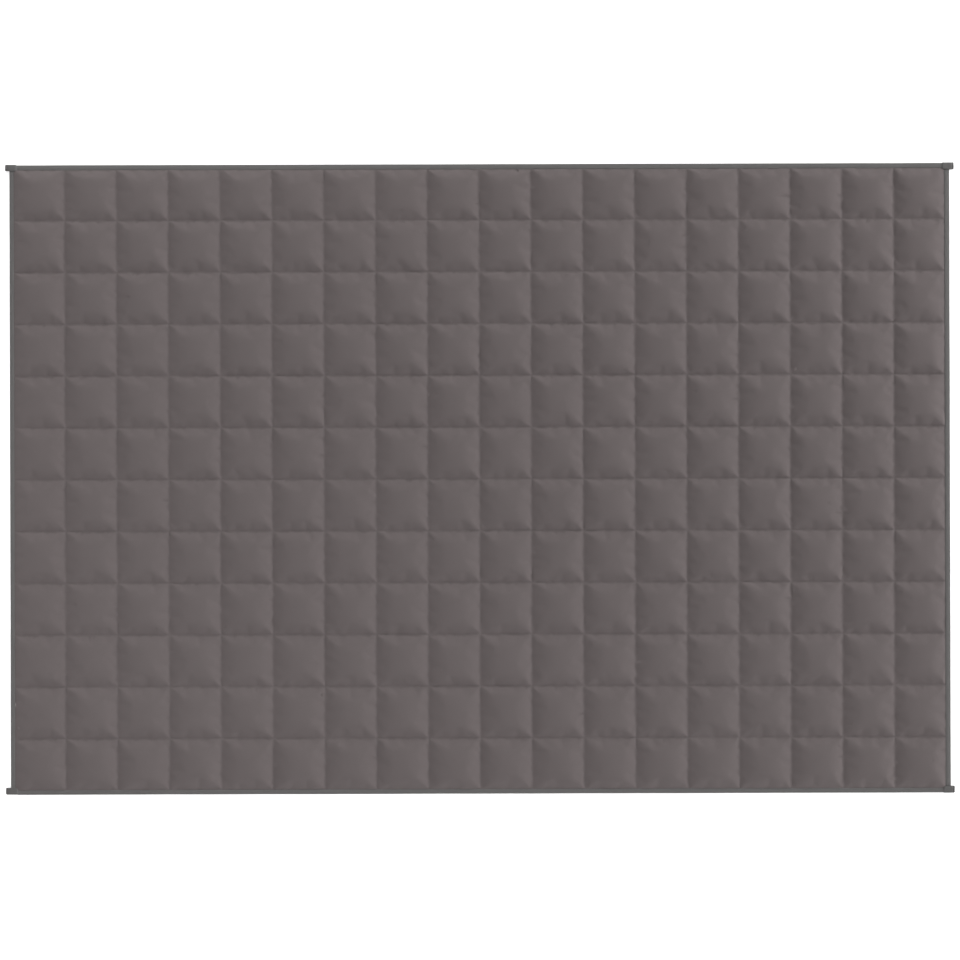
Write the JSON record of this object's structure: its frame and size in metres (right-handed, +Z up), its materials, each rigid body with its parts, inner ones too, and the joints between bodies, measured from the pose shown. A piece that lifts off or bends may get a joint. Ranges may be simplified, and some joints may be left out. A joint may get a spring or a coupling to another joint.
{
  "type": "weighted blanket",
  "caption": "Weighted blanket lying flat: a quilted panel of filled square pockets, bound along its edges, with thick turned-in ends on the long bindings.",
  "frame": {"origin": "on the surface that the blanket lies on, under its middle", "axes": "+X along the long side, +Y along the short side, +Z up out of the face that shows"},
  "size_m": [1.8184, 1.2082, 0.0143],
  "materials": {
    "quilt_cloth": "matte",
    "binding_tape": "matte"
  },
  "bodies": {
    "root": {"quilted_panel": "quilt_cloth", "binding_top": "binding_tape", "binding_bottom": "binding_tape", "binding_left": "binding_tape", "binding_right": "binding_tape"}
  },
  "joints": []
}
